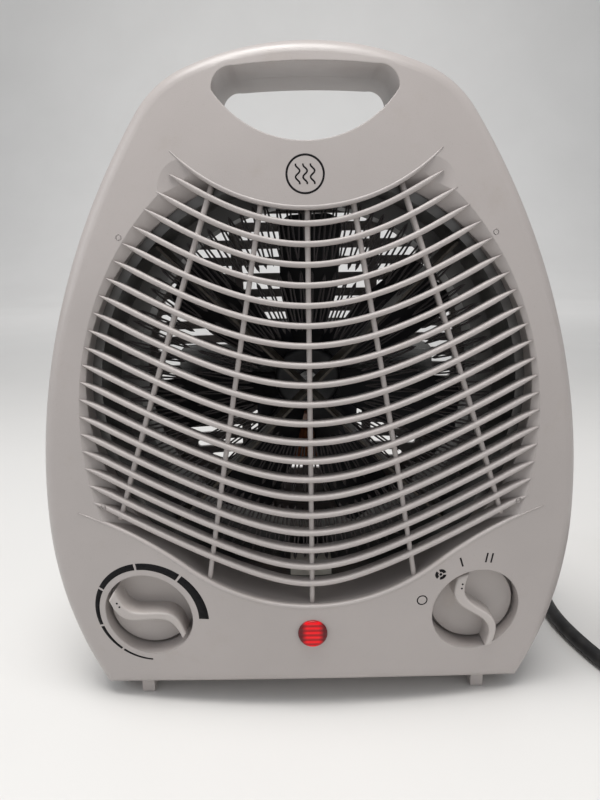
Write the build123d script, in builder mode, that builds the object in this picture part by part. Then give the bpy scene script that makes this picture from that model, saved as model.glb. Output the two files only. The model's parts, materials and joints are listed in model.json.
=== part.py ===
from build123d import *
import os
from math import cos, exp, hypot, pi, radians, sin, sqrt, tan

# Fan convector heater, millimetres. X runs across the heater, Y from its front (-) to its back (+),
# and Z up. The origin is on the ground, under the middle of the box that holds the heater.

os.makedirs("parts", exist_ok=True)

# ---------------------------------------------------------------- driving dimensions
WALL = 2.5  # moulded casing wall
FACE_Y = -59.0  # foremost point of the front face
BACK_Y = 59.0  # rearmost point of the back
BELLY_Z = 82.0  # height at which both faces stand out furthest
PARTING_Y = -17.0  # where the two casings meet
FACE_PROFILE_R = 700.0  # front face, seen from the side
FACE_PLAN_R = 450.0  # front face, seen from above
BACK_PROFILE_R = 248.0  # domed back above the belly
BACK_SKIRT_R = 900.0  # back below the belly
BACK_PLAN_R = 300.0
GRIP_BACK_Y = 4.0  # back of the carrying handle
FACE_FILLET = 7.0
BACK_FILLET = 10.0

TOP_Z = 265.2
OUTLINE_ARCS = ((120.0, 22.0), (40.0, 36.1), (300.0, 31.9), (170.0, 27.3))  # radius, turn
ARCH_Z = 11.5  # top of the shallow arch in the casing's bottom edge

AIR_Z = 134.0  # height of the air outlet's axis
OUTLET_R = 87.0
DUCT_WALL = 2.5
DUCT_BACK_Y = -38.0
BROW_Z = 204.8  # lower edge of the brow over the grille
BROW_R = 70.0
LIP_Z = 50.3  # upper edge of the lower panel
DISH_FLOOR_Y = -17.4  # deepest point of the dished recess, if it were whole
DISH_PLAN_R = 146.0
DISH_PROFILE_R = 208.6
DISH_Z = 134.5
COLLAR = 12.0  # thickness of the casing around the outlet

BAR_COUNT = 20
TOP_BAR_Z = 199.8
LOW_BAR_Z = 60.1
BAR_THICK = 2.2
BAR_FRONT = 0.4  # set back from the face
BAR_BACK = 6.0
RIB_FRONT = 2.2
RIB_BACK = 7.2
RIB_THICK = 2.0

CONTROL_X = 68.0  # knob wells, to each side
CONTROL_Z = 44.0
WELL_R = 18.75
WELL_FLOOR_Y = -41.0
KNOB_R = 17.4
KNOB_DISC = 3.0
GRIP_DEPTH = 9.0  # how far a knob's grip stands out of its disc
LAMP_Z = 38.0
LENS_R = 6.0

SCREW_PLACES = ((55.0, 237.0), (94.0, 150.0), (92.0, 26.0))  # and mirrored in X
SEAT_Y = -11.5  # where a casing screw's head sits

INTAKE_R = 78.0  # slotted field in the back
INTAKE_PITCH = 8.0
INTAKE_SLOT = 3.8
MOUNT_X = 58.0  # motor mount's posts, to each side

FOOT_X = 73.0
FOOT_HALF = 2.75
FOOT_FRONT_Y = -44.0
FOOT_BACK_Y = 44.0
PEG_Y = 31.0
PEG_TOP_Z = 11.4

FAN_R = 74.0
FAN_FRONT_Y = -10.0
FAN_BACK_Y = 8.0
STATOR_FRONT_Y = 18.5
STATOR_BACK_Y = 36.5
MOTOR_SCREW_X = 20.0

SHIELD_R = 84.2
SHIELD_WALL = 0.8
SHIELD_BACK_Y = -10.0
SHROUD_R = 75.5
OUTER_WIRE_Y = -32.0  # backs of the two heating wires
INNER_WIRE_Y = -24.0
WIRE_THICK = 0.9

CORD_R = 3.5
CORD_EXIT = (62.0, 22.0)  # x and z of the cord's way out of the back
GLAND_TIP_Y = 81.0
COIL_CENTRE = (192.5, -30.0)
COIL_INNER_R = 28.0
COIL_OUTER_R = 49.0
TIE_THICK = 0.8
TIE_ANGLE = 100.0  # where the tie holds the coil
LEAVE_ANGLE = 12.0  # where the cord's end leaves the coil


def save(builder, name):
    """Label a finished piece and write it."""
    builder.part.label = name
    export_step(builder.part, f"parts/{name}.step")


def at_y(y):
    """Plane facing the front at depth y: local x is X, local y is Z."""
    return Plane.XZ.offset(-y)


def add_rod(x, z, radius, y_front, y_back, mode=Mode.ADD):
    """Cylinder along Y, combined with the part being built."""
    with BuildSketch(at_y(y_back)) as disc:
        with Locations((x, z)):
            Circle(radius)
    extrude(disc.sketch, amount=y_back - y_front, mode=mode)


def add_block(x, z, width, height, y_front, y_back, mode=Mode.ADD):
    """Rectangular block centred on x and z, combined with the part being built."""
    with BuildSketch(at_y(y_back)) as oblong:
        with Locations((x, z)):
            Rectangle(width, height)
    extrude(oblong.sketch, amount=y_back - y_front, mode=mode)


def casing_outline(inset=0.0):
    """Front view of the casing, drawn from the top, clockwise, and mirrored."""
    with BuildSketch() as outline:
        with BuildLine():
            start, heading = Vector(0, TOP_Z), 0.0
            for radius, turn in OUTLINE_ARCS:
                direction = (cos(radians(heading)), sin(radians(heading)))
                arc = JernArc(start, direction, radius, -turn)
                start, heading = arc @ 1, heading - turn
            mirror(about=Plane.YZ)
            ThreePointArc(start, (0, ARCH_Z), (-start.X, start.Y))
        make_face()
        if inset:
            offset(amount=-inset, mode=Mode.REPLACE)
    return outline.sketch


def casing_block(inset=0.0, rounded=True):
    """Solid inside the casing's outer surface, or inside a surface set in from it."""
    from_axis = Plane((0, FACE_Y + FACE_PLAN_R, 0), x_dir=(0, 1, 0), z_dir=(1, 0, 0))
    to_front = Plane((0, BACK_Y - BACK_PLAN_R, 0), x_dir=(0, -1, 0), z_dir=(-1, 0, 0))
    low, high = -15.0, 280.0
    all_of_it = (Align.MIN, Align.CENTER)
    with BuildPart() as block:
        with BuildSketch(at_y(BACK_Y + 5)):
            add(casing_outline(inset))
        extrude(amount=BACK_Y - FACE_Y + 10)
        with BuildSketch(from_axis):
            with Locations((FACE_PLAN_R - FACE_PROFILE_R, BELLY_Z)):
                Circle(FACE_PROFILE_R - inset)
            with Locations((0, (low + high) / 2)):
                Rectangle(FACE_PLAN_R + 5, high - low, align=all_of_it, mode=Mode.INTERSECT)
        revolve(axis=Axis(from_axis.origin, (0, 0, 1)), mode=Mode.INTERSECT)
        grip_r = BACK_PLAN_R - (BACK_Y - GRIP_BACK_Y) - inset
        with BuildSketch(to_front) as back:
            with Locations((BACK_PLAN_R - BACK_PROFILE_R, BELLY_Z)):
                Circle(BACK_PROFILE_R - inset)
            with Locations((0, BELLY_Z)):
                Rectangle(BACK_PLAN_R + 5, high, align=(Align.MIN, Align.MIN), mode=Mode.INTERSECT)
            with BuildLine():
                skirt_low = sqrt((BACK_SKIRT_R - inset) ** 2 - (BELLY_Z - low) ** 2)
                skirt_low += BACK_PLAN_R - BACK_SKIRT_R
                Line((0, BELLY_Z), (0, low))
                Line((0, low), (skirt_low, low))
                RadiusArc((skirt_low, low), (BACK_PLAN_R - inset, BELLY_Z), -(BACK_SKIRT_R - inset))
                Line((BACK_PLAN_R - inset, BELLY_Z), (0, BELLY_Z))
            make_face()
            with Locations((0, BELLY_Z)):
                Rectangle(grip_r, high - BELLY_Z, align=(Align.MIN, Align.MIN))
            with Locations((0, (low + high) / 2)):
                Rectangle(BACK_PLAN_R + 5, high - low, align=all_of_it, mode=Mode.INTERSECT)
            fillet(back.vertices().sort_by_distance((grip_r, 236 - inset))[0], 8 + inset)
        revolve(axis=Axis(to_front.origin, (0, 0, 1)), mode=Mode.INTERSECT)
        if rounded:
            walls = block.faces().filter_by(lambda f: abs(f.normal_at(f.center()).Y) < 0.02)

            def on_back_rim(edge):
                on_wall = all(min(w.distance_to(edge @ t) for w in walls) < 0.01 for t in (0.3, 0.7))
                return on_wall and (edge @ 0.5).Y > PARTING_Y

            rims = block.edges().filter_by(Axis.Y, reverse=True).filter_by(on_back_rim)
            fillet(rims, BACK_FILLET - inset)
            fillet(block.faces().sort_by(Axis.Y)[0].edges(), FACE_FILLET - inset)
    return block.part


def outlet_lens():
    """Region between the brow and the lip, wider than the casing's recess."""
    tip_x, side = 49.0, 106.0
    tip_z = BROW_Z + BROW_R - sqrt(BROW_R**2 - tip_x**2)
    with BuildSketch() as lens:
        with BuildLine():
            RadiusArc((0, BROW_Z), (tip_x, tip_z), -BROW_R)
            Line((tip_x, tip_z), (side, tip_z))
            Line((side, tip_z), (side, 92))
            Line((side, 92), (94.4, 89.3))
            rise = JernArc((0, LIP_Z), (1, 0), 83, 37)
            TangentArc(rise @ 1, (94.4, 89.3), tangent=rise % 1)
            mirror(about=Plane.YZ)
        make_face()
    return lens.sketch


def grip_hole(grow=0.0):
    """Hand hole: a flat arch over a deep curve."""
    with BuildSketch() as hole:
        with BuildLine():
            ThreePointArc((-26, 255.3), (0, 256.6), (26, 255.3))
            ThreePointArc((26, 255.3), (32.3, 252.8), (34, 247))
            ThreePointArc((34, 247), (0, 228.7), (-34, 247))
            ThreePointArc((-34, 247), (-32.3, 252.8), (-26, 255.3))
        make_face()
        fillet(hole.vertices().group_by(Axis.Y)[0], 3.0)
        if grow:
            offset(amount=grow, mode=Mode.REPLACE)
    return hole.sketch


def bar_curve(step, shift):
    """One edge of a grille bar; step runs from 0 at the top bar to 1 at the lowest."""
    middle_z = TOP_BAR_Z + (LOW_BAR_Z - TOP_BAR_Z) * step
    tip_x = 48.9 + 100.8 * step - 63.7 * step**2
    tip_rise = 17.4 + 28.0 * step - 12.3 * step**2
    soft = 58 * exp(-1.7 * step)  # how round the middle of the bar is
    slope = sqrt((tip_rise + soft) ** 2 - soft**2) / tip_x
    reach = tip_x + 7
    xs = [reach * k / 4 for k in range(-4, 5)]
    points = [(x, middle_z + shift + hypot(soft, slope * x) - soft) for x in xs]
    return Spline(*points)


outer = casing_block()
inner = casing_block(WALL)
lens = outlet_lens()


def face_layer(front, back, mode=Mode.INTERSECT):
    """Keep what lies between two depths below the front face."""
    add(casing_block(front, rounded=False), mode=mode)
    add(casing_block(back, rounded=False), mode=Mode.SUBTRACT)


horn_at = Vector(49.5, -42.0, 221.5)  # where the recess runs out beside the brow's tips
horn_r = 40.0
with BuildPart() as dish:
    dish_axis = Plane((0, DISH_FLOOR_Y - DISH_PLAN_R, 0), x_dir=(0, -1, 0), z_dir=(-1, 0, 0))
    with BuildSketch(dish_axis):
        with Locations((DISH_PLAN_R - DISH_PROFILE_R, DISH_Z)):
            Circle(DISH_PROFILE_R)
        with Locations((0, DISH_Z)):
            Rectangle(DISH_PLAN_R + 5, 210, align=(Align.MIN, Align.CENTER), mode=Mode.INTERSECT)
    revolve(axis=Axis(dish_axis.origin, (0, 0, 1)))
    for side in (-1, 1):
        horn_axis = Vector(side * 0.72, 0, 0.70)
        horn_foot = Vector(side * horn_at.X, horn_at.Y - horn_r, horn_at.Z) - horn_axis * 20
        with BuildSketch(Plane(horn_foot, z_dir=horn_axis)):
            Circle(horn_r)
        extrude(amount=35)
    with BuildSketch(at_y(0)):
        add(lens)
    extrude(amount=90, mode=Mode.INTERSECT)

with BuildPart() as parting_groove:
    with BuildSketch(at_y(PARTING_Y + 0.3)):
        add(casing_outline(-1.0))
        add(casing_outline(0.5), mode=Mode.SUBTRACT)
    extrude(amount=0.6)

with BuildPart() as collar:
    with BuildSketch(at_y(-20)):
        with Locations((0, AIR_Z)):
            Circle(98.5)
    extrude(amount=50)
    face_layer(0, COLLAR)
    with BuildSketch(at_y(-20)):
        with Locations((0, AIR_Z)):
            Circle(80)
        add(lens, mode=Mode.INTERSECT)
    extrude(amount=50, mode=Mode.SUBTRACT)

# ---------------------------------------------------------------- front casing
with BuildPart() as front_casing:
    add(outer)
    add(inner, mode=Mode.SUBTRACT)
    add(collar.part)
    add_rod(0, AIR_Z, OUTLET_R + DUCT_WALL, -80, DUCT_BACK_Y)
    with BuildSketch(at_y(20)):
        add(grip_hole(2.2))
    extrude(amount=100)
    for side in (-1, 1):
        add_rod(side * CONTROL_X, CONTROL_Z, WELL_R + 2.3, -80, WELL_FLOOR_Y + 2.5)
        for x, z in SCREW_PLACES:
            add_rod(side * x, z, 3.8, -80, PARTING_Y)
    add_rod(0, LAMP_Z, 8.5, -80, -51)
    add(outer, mode=Mode.INTERSECT)
    add_block(0, 150, 400, 400, PARTING_Y, 90, mode=Mode.SUBTRACT)
    # openings
    with BuildSketch(at_y(0)):
        with Locations((0, AIR_Z)):
            Circle(OUTLET_R)
        add(lens, mode=Mode.INTERSECT)
    extrude(amount=90, mode=Mode.SUBTRACT)
    add(dish.part, mode=Mode.SUBTRACT)
    with BuildSketch(at_y(20)):
        add(grip_hole())
    extrude(amount=100, mode=Mode.SUBTRACT)
    for side in (-1, 1):
        add_rod(side * CONTROL_X, CONTROL_Z, WELL_R, -80, WELL_FLOOR_Y, mode=Mode.SUBTRACT)
        add_rod(side * CONTROL_X, CONTROL_Z, 4.0, -60, -30, mode=Mode.SUBTRACT)
        for x, z in SCREW_PLACES:
            add_rod(side * x, z, 1.6, PARTING_Y - 14, PARTING_Y, mode=Mode.SUBTRACT)
    add_rod(0, LAMP_Z, 5.2, -80, -40, mode=Mode.SUBTRACT)
    with BuildSketch(Plane.XY):
        with Locations((FOOT_X, -PEG_Y), (-FOOT_X, -PEG_Y)):
            Circle(2.0)
    extrude(amount=20, mode=Mode.SUBTRACT)
    add(parting_groove.part, mode=Mode.SUBTRACT)
save(front_casing, "front_casing")

# ---------------------------------------------------------------- front grille
with BuildPart() as grille_bars:
    with BuildSketch(at_y(-20)):
        for bar in range(BAR_COUNT):
            step = bar / (BAR_COUNT - 1)
            with BuildLine():
                low = bar_curve(step, -BAR_THICK / 2)
                high = bar_curve(step, BAR_THICK / 2)
                Line(low @ 0, high @ 0)
                Line(low @ 1, high @ 1)
            make_face()
    extrude(amount=50)
    face_layer(BAR_FRONT, BAR_BACK)

with BuildPart() as grille_ribs:
    with BuildSketch(at_y(-20)):
        for top_x, top_z, low_x, low_z in ((0, 210, 0, 45), (16.5, 212, 42.5, 50), (35, 216, 78, 83)):
            for side in (-1, 1):
                with BuildLine():
                    Polyline(
                        (side * top_x - RIB_THICK / 2, top_z),
                        (side * top_x + RIB_THICK / 2, top_z),
                        (side * low_x + RIB_THICK / 2, low_z),
                        (side * low_x - RIB_THICK / 2, low_z),
                        close=True,
                    )
                make_face()
    extrude(amount=50)
    face_layer(RIB_FRONT, RIB_BACK)

with BuildPart() as front_grille:
    add(grille_bars.part)
    add(grille_ribs.part)
    with BuildSketch(at_y(-20)):
        with Locations((0, AIR_Z)):
            Circle(100)
        add(lens, mode=Mode.INTERSECT)
    extrude(amount=50, mode=Mode.INTERSECT)
    add(front_casing.part, mode=Mode.SUBTRACT)
    whole = front_grille.solids().sort_by(SortBy.VOLUME)[-1]
    add(whole, mode=Mode.REPLACE)
save(front_grille, "front_grille")

# ---------------------------------------------------------------- rear casing
with BuildPart() as rear_casing:
    add(outer)
    add(inner, mode=Mode.SUBTRACT)
    with BuildSketch(at_y(20)):
        add(grip_hole(2.2))
    extrude(amount=100)
    for side in (-1, 1):
        add_rod(side * MOUNT_X, AIR_Z, 4.5, STATOR_BACK_Y + 1.5, 80)
        for x, z in SCREW_PLACES:
            add_rod(side * x, z, 5.8, PARTING_Y, 80)
    add(outer, mode=Mode.INTERSECT)
    add_block(0, 150, 400, 400, -90, PARTING_Y, mode=Mode.SUBTRACT)
    with BuildSketch(at_y(20)):
        add(grip_hole())
    extrude(amount=100, mode=Mode.SUBTRACT)
    for side in (-1, 1):
        add_rod(side * MOUNT_X, AIR_Z, 1.55, STATOR_BACK_Y, STATOR_BACK_Y + 8, mode=Mode.SUBTRACT)
        for x, z in SCREW_PLACES:
            add_rod(side * x, z, 3.9, SEAT_Y, 90, mode=Mode.SUBTRACT)
            add_rod(side * x, z, 2.1, PARTING_Y, SEAT_Y, mode=Mode.SUBTRACT)
    # air intake
    with BuildSketch(at_y(80)):
        for k in range(-9, 10):
            rise = INTAKE_PITCH * k
            with Locations((0, AIR_Z + rise)):
                SlotOverall(2 * sqrt(INTAKE_R**2 - rise**2), INTAKE_SLOT)
        for x in (-34, 0, 34):
            with Locations((x, AIR_Z)):
                Rectangle(5, 2.1 * INTAKE_R, mode=Mode.SUBTRACT)
        with Locations((MOUNT_X, AIR_Z), (-MOUNT_X, AIR_Z)):
            Circle(7, mode=Mode.SUBTRACT)
    extrude(amount=68, mode=Mode.SUBTRACT)
    add_rod(*CORD_EXIT, 5.8, 40, 70, mode=Mode.SUBTRACT)
    with BuildSketch(Plane.XY):
        with Locations((FOOT_X, PEG_Y), (-FOOT_X, PEG_Y)):
            Circle(2.0)
    extrude(amount=20, mode=Mode.SUBTRACT)
    add(parting_groove.part, mode=Mode.SUBTRACT)
save(rear_casing, "rear_casing")

with BuildPart() as casing_screws:
    for side in (-1, 1):
        for x, z in SCREW_PLACES:
            add_rod(side * x, z, 3.4, SEAT_Y, SEAT_Y + 2.4)
            add_rod(side * x, z, 1.55, SEAT_Y - 15, SEAT_Y)
            add_block(side * x, z, 4.0, 0.9, SEAT_Y + 1.2, SEAT_Y + 2.4, mode=Mode.SUBTRACT)
            add_block(side * x, z, 0.9, 4.0, SEAT_Y + 1.2, SEAT_Y + 2.4, mode=Mode.SUBTRACT)
save(casing_screws, "casing_screws")

for name, side in (("left_foot", -1), ("right_foot", 1)):
    with BuildPart() as foot:
        with BuildSketch(Plane.XY):
            with Locations((side * FOOT_X, (FOOT_FRONT_Y + FOOT_BACK_Y) / 2)):
                Rectangle(2 * FOOT_HALF, FOOT_BACK_Y - FOOT_FRONT_Y)
        extrude(amount=12)
        chamfer(foot.edges().group_by(Axis.Z)[0], 0.6)
        add(outer, mode=Mode.SUBTRACT)
        with BuildSketch(Plane.XY.offset(4)):
            with Locations((side * FOOT_X, PEG_Y), (side * FOOT_X, -PEG_Y)):
                Circle(1.95)
        extrude(amount=PEG_TOP_Z - 4)
        with BuildSketch(Plane.XY.offset(PEG_TOP_Z - 1.5)):
            with Locations((side * FOOT_X, PEG_Y), (side * FOOT_X, -PEG_Y)):
                Circle(3.0)
        extrude(amount=1.5)
    save(foot, name)

# ---------------------------------------------------------------- heater inside
with BuildPart() as heat_shield:
    add_rod(0, AIR_Z, SHIELD_R, DUCT_BACK_Y, SHIELD_BACK_Y)
    add_rod(0, AIR_Z, OUTLET_R + DUCT_WALL, DUCT_BACK_Y, DUCT_BACK_Y + SHIELD_WALL)
    add_rod(0, AIR_Z, SHIELD_R - SHIELD_WALL, DUCT_BACK_Y, SHIELD_BACK_Y, mode=Mode.SUBTRACT)
    add(front_casing.part, mode=Mode.SUBTRACT)
    add(heat_shield.solids().sort_by(SortBy.VOLUME)[-1], mode=Mode.REPLACE)
save(heat_shield, "heat_shield")


def zigzag(low_r, high_r, teeth):
    """Wire bent to and fro between two radii, all the way round."""
    corners = []
    for k in range(2 * teeth):
        angle = pi * k / teeth
        radius = high_r if k % 2 else low_r
        corners.append((radius * cos(angle), AIR_Z + radius * sin(angle)))
    with BuildSketch() as line:
        with BuildLine():
            Polyline(*corners, close=True)
        make_face()
    with BuildSketch() as wire:
        add(line.sketch)
        offset(amount=WIRE_THICK / 2, kind=Kind.INTERSECTION, mode=Mode.REPLACE)
        core = offset(line.sketch, amount=-WIRE_THICK / 2, kind=Kind.INTERSECTION, mode=Mode.PRIVATE)
        add(core, mode=Mode.SUBTRACT)
    return wire.sketch


wires = (("heating_wire_outer", 52, 75, 60, OUTER_WIRE_Y), ("heating_wire_inner", 24, 47, 36, INNER_WIRE_Y))
wire_parts = []
for name, low_r, high_r, teeth, y in wires:
    with BuildPart() as wire:
        with BuildSketch(at_y(y)):
            add(zigzag(low_r, high_r, teeth))
        extrude(amount=WIRE_THICK)
    save(wire, name)
    wire_parts.append(wire.part)

BOARD_BACK_Y = INNER_WIRE_Y + 6
BOARD_DEPTH = 16.0
for name, angle, slot_front in (("mica_board_1", 45, 0), ("mica_board_2", -45, BOARD_DEPTH / 2)):
    lengthwise = (cos(radians(angle)), 0, sin(radians(angle)))
    with BuildPart() as board:
        with BuildSketch(Plane((0, BOARD_BACK_Y, AIR_Z), x_dir=lengthwise, z_dir=(0, -1, 0))):
            Rectangle(2 * (SHIELD_R - 1.2), 1.0)
        extrude(amount=BOARD_DEPTH)
        # halved over the other board
        slot_y = BOARD_BACK_Y - slot_front
        with BuildSketch(Plane((0, slot_y, AIR_Z), x_dir=lengthwise, z_dir=(0, -1, 0))):
            Rectangle(1.0, 1.2)
        extrude(amount=BOARD_DEPTH / 2, mode=Mode.SUBTRACT)
        for wire_part in wire_parts:
            add(wire_part, mode=Mode.SUBTRACT)
    save(board, name)

with BuildPart() as thermal_cutout:
    add_rod(0, AIR_Z, SHIELD_R - SHIELD_WALL, -34, -20)
    add_block(0, AIR_Z - 81, 18, 9, -40, -15, mode=Mode.INTERSECT)
    add_rod(0, AIR_Z - 80, 2.0, -36, -34)
save(thermal_cutout, "thermal_cutout")

with BuildPart() as thermal_fuse:
    with BuildSketch(Plane.YZ.offset(-8)):
        with Locations((-24, AIR_Z + 80.5)):
            Circle(2.0)
    extrude(amount=16)
    chamfer(thermal_fuse.edges(), 0.6)
save(thermal_fuse, "thermal_fuse")

with BuildPart() as fan_shroud:
    add_rod(0, AIR_Z, SHIELD_R, SHIELD_BACK_Y, SHIELD_BACK_Y + 1)
    add_rod(0, AIR_Z, SHROUD_R + 1.2, SHIELD_BACK_Y, FAN_BACK_Y)
    add_rod(0, AIR_Z, SHROUD_R, SHIELD_BACK_Y, FAN_BACK_Y, mode=Mode.SUBTRACT)
save(fan_shroud, "fan_shroud")

# ---------------------------------------------------------------- fan
with BuildPart() as fan_impeller:
    add_rod(0, AIR_Z, 15, FAN_FRONT_Y + 2, FAN_BACK_Y)
    fillet(fan_impeller.edges().group_by(Axis.Y)[0], 2.5)
    for blade in range(7):
        turn = radians(90 + blade * 360 / 7)
        outward = (cos(turn), 0, sin(turn))
        pitch = radians(28)
        face_dir = Vector(-sin(turn) * sin(pitch), -cos(pitch), cos(turn) * sin(pitch))
        with BuildSketch(Plane((0, -1, AIR_Z), x_dir=outward, z_dir=face_dir)) as vane:
            with BuildLine():
                leading = [(11, -5), (40, -15), (FAN_R - 2, -17)]
                trailing = [(FAN_R - 2, 13), (40, 13), (11, 5)]
                Polyline(*leading, *trailing, close=True)
            make_face()
            fillet(vane.vertices().group_by(Axis.X)[-1], 7)
        extrude(amount=0.8, both=True)
    with BuildSketch(at_y(FAN_BACK_Y)):
        with Locations((0, AIR_Z)):
            Circle(FAN_R)
    extrude(amount=FAN_BACK_Y - FAN_FRONT_Y, mode=Mode.INTERSECT)
    add_rod(0, AIR_Z, 12.5, FAN_FRONT_Y + 5, FAN_BACK_Y, mode=Mode.SUBTRACT)
    add_rod(0, AIR_Z, 4.5, FAN_FRONT_Y, FAN_BACK_Y)
    add_rod(0, AIR_Z, 2.0, FAN_FRONT_Y, FAN_BACK_Y, mode=Mode.SUBTRACT)
save(fan_impeller, "fan_impeller")

with BuildPart() as motor_shaft:
    add_rod(0, AIR_Z, 2.0, FAN_FRONT_Y - 2.5, STATOR_BACK_Y + 7)
save(motor_shaft, "motor_shaft")

with BuildPart() as fan_clip:
    add_rod(0, AIR_Z, 4.2, FAN_FRONT_Y - 1, FAN_FRONT_Y)
    add_rod(0, AIR_Z, 2.0, FAN_FRONT_Y - 1, FAN_FRONT_Y, mode=Mode.SUBTRACT)
save(fan_clip, "fan_clip")

with BuildPart() as motor_rotor:
    add_rod(0, AIR_Z, 13.5, STATOR_FRONT_Y + 1, STATOR_BACK_Y - 1)
    add_rod(0, AIR_Z, 2.0, STATOR_FRONT_Y + 1, STATOR_BACK_Y - 1, mode=Mode.SUBTRACT)
save(motor_rotor, "motor_rotor")

with BuildPart() as motor_stator:
    add_block(0, AIR_Z - 11, 50, 66, STATOR_FRONT_Y, STATOR_BACK_Y)
    fillet(motor_stator.edges().filter_by(Axis.Y), 4)
    add_rod(0, AIR_Z, 14, STATOR_FRONT_Y, STATOR_BACK_Y, mode=Mode.SUBTRACT)
    add_block(0, AIR_Z - 26, 30, 14, STATOR_FRONT_Y, STATOR_BACK_Y, mode=Mode.SUBTRACT)
    for side in (-1, 1):
        add_rod(side * MOTOR_SCREW_X, AIR_Z, 1.6, STATOR_FRONT_Y, STATOR_BACK_Y, mode=Mode.SUBTRACT)
save(motor_stator, "motor_stator")

with BuildPart() as motor_winding:
    add_block(0, AIR_Z - 38.5, 28, 20, STATOR_FRONT_Y - 4.5, STATOR_BACK_Y + 4.5)
    fillet(motor_winding.edges().filter_by(Axis.X), 3)
    add(motor_stator.part, mode=Mode.SUBTRACT)
save(motor_winding, "motor_winding")

with BuildPart() as motor_mount:
    add_block(0, AIR_Z, 132, 20, STATOR_BACK_Y, STATOR_BACK_Y + 1.5)
    fillet(motor_mount.edges().filter_by(Axis.Y), 6)
    for x in (-MOUNT_X, -MOTOR_SCREW_X, MOTOR_SCREW_X, MOUNT_X):
        add_rod(x, AIR_Z, 1.6, STATOR_BACK_Y, STATOR_BACK_Y + 1.5, mode=Mode.SUBTRACT)
    add_rod(0, AIR_Z, 3.2, STATOR_BACK_Y, STATOR_BACK_Y + 1.5, mode=Mode.SUBTRACT)
save(motor_mount, "motor_mount")

with BuildPart() as mount_screws:
    for side in (-1, 1):
        add_rod(side * MOUNT_X, AIR_Z, 3.2, STATOR_BACK_Y - 2, STATOR_BACK_Y)
        add_rod(side * MOUNT_X, AIR_Z, 1.5, STATOR_BACK_Y, STATOR_BACK_Y + 7)
save(mount_screws, "mount_screws")

front_bar, rear_bar = STATOR_FRONT_Y - 2, STATOR_BACK_Y + 1.5
bearing_cups = (
    ("motor_front_bracket", front_bar, front_bar + 2, front_bar - 4.5, front_bar),
    ("motor_rear_bracket", rear_bar, rear_bar + 2, rear_bar + 2, rear_bar + 6.5),
)
for name, bar_front, bar_back, cup_front, cup_back in bearing_cups:
    with BuildPart() as bracket:
        add_block(0, AIR_Z, 50, 13, bar_front, bar_back)
        fillet(bracket.edges().filter_by(Axis.Y), 5)
        add_rod(0, AIR_Z, 6.3, cup_front, cup_back)
        add_rod(0, AIR_Z, 5.0, cup_front, cup_back, mode=Mode.SUBTRACT)
        add_rod(0, AIR_Z, 2.7, bar_front, bar_back, mode=Mode.SUBTRACT)
        for side in (-1, 1):
            add_rod(side * MOTOR_SCREW_X, AIR_Z, 1.6, bar_front, bar_back, mode=Mode.SUBTRACT)
    save(bracket, name)

with BuildPart() as motor_bearings:
    for y in (STATOR_FRONT_Y - 6, STATOR_BACK_Y + 3.5):
        add_rod(0, AIR_Z, 5.0, y, y + 4)
        add_rod(0, AIR_Z, 2.05, y, y + 4, mode=Mode.SUBTRACT)
save(motor_bearings, "motor_bearings")

with BuildPart() as motor_screws:
    for side in (-1, 1):
        add_rod(side * MOTOR_SCREW_X, AIR_Z, 2.6, STATOR_FRONT_Y - 4, STATOR_FRONT_Y - 2)
        add_rod(side * MOTOR_SCREW_X, AIR_Z, 1.5, STATOR_FRONT_Y - 2, STATOR_BACK_Y + 6)
save(motor_screws, "motor_screws")

# ---------------------------------------------------------------- controls
def turned(u, v, x, angle):
    """Point of a knob whose grip points at an angle, in the front view."""
    c, s = cos(radians(angle)), sin(radians(angle))
    return (x + u * c - v * s, CONTROL_Z + u * s + v * c)


controls = (("thermostat", -CONTROL_X, 147, 24, 24, -24), ("selector", CONTROL_X, 111, 30, 26, -20))
disc_front = WELL_FLOOR_Y - KNOB_DISC - 0.6
shaft_front = disc_front + 0.8
for name, x, angle, width, height, body_back in controls:
    with BuildPart() as knob:
        add_rod(x, CONTROL_Z, KNOB_R, disc_front, disc_front + KNOB_DISC)
        with BuildSketch(at_y(disc_front)):
            with BuildLine():
                us = [KNOB_R * 1.1 * k / 6 for k in range(-6, 7)]
                wave = [4.0 * sin(pi * u / 17) for u in us]
                half = [1.95 + 0.032 * u for u in us]  # the pointing end is broader
                near = Spline(*[turned(u, w - h, x, angle) for u, w, h in zip(us, wave, half)])
                far = Spline(*[turned(u, w + h, x, angle) for u, w, h in zip(us, wave, half)])
                Line(near @ 0, far @ 0)
                Line(near @ 1, far @ 1)
            make_face()
        extrude(amount=GRIP_DEPTH)
        with BuildSketch(at_y(WELL_FLOOR_Y)):
            with Locations((x, CONTROL_Z)):
                Circle(KNOB_R)
        extrude(amount=20, mode=Mode.INTERSECT)
        top = knob.faces().sort_by(Axis.Y)[0]
        fillet(top.edges(), 0.8)
        add_rod(x, CONTROL_Z, 3.0, shaft_front, WELL_FLOOR_Y, mode=Mode.SUBTRACT)
    save(knob, name + "_knob")
    with BuildPart() as shaft:
        add_rod(x, CONTROL_Z, 3.0, shaft_front, body_back - 4)
    save(shaft, name + "_shaft")
    with BuildPart() as body:
        add_block(x, CONTROL_Z, width, height, WELL_FLOOR_Y + 2.5, body_back)
        fillet(body.edges().filter_by(Axis.Y), 2)
        for k in range(3):
            add_block(x - 8 + 8 * k, CONTROL_Z + 4, 5, 0.8, body_back, body_back + 7)
        add_rod(x, CONTROL_Z, 3.05, WELL_FLOOR_Y + 2.5, body_back - 3, mode=Mode.SUBTRACT)
    save(body, name + "_body")

with BuildPart() as indicator_lens:
    add_rod(0, LAMP_Z, LENS_R, FACE_Y, -56)
    fillet(indicator_lens.edges().group_by(Axis.Y)[0], 0.9)
    add(front_casing.part, mode=Mode.SUBTRACT)
    add_rod(0, LAMP_Z, 5.1, -58, -47)
    add_rod(0, LAMP_Z, 3.9, -56, -47, mode=Mode.SUBTRACT)
save(indicator_lens, "indicator_lens")

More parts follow.
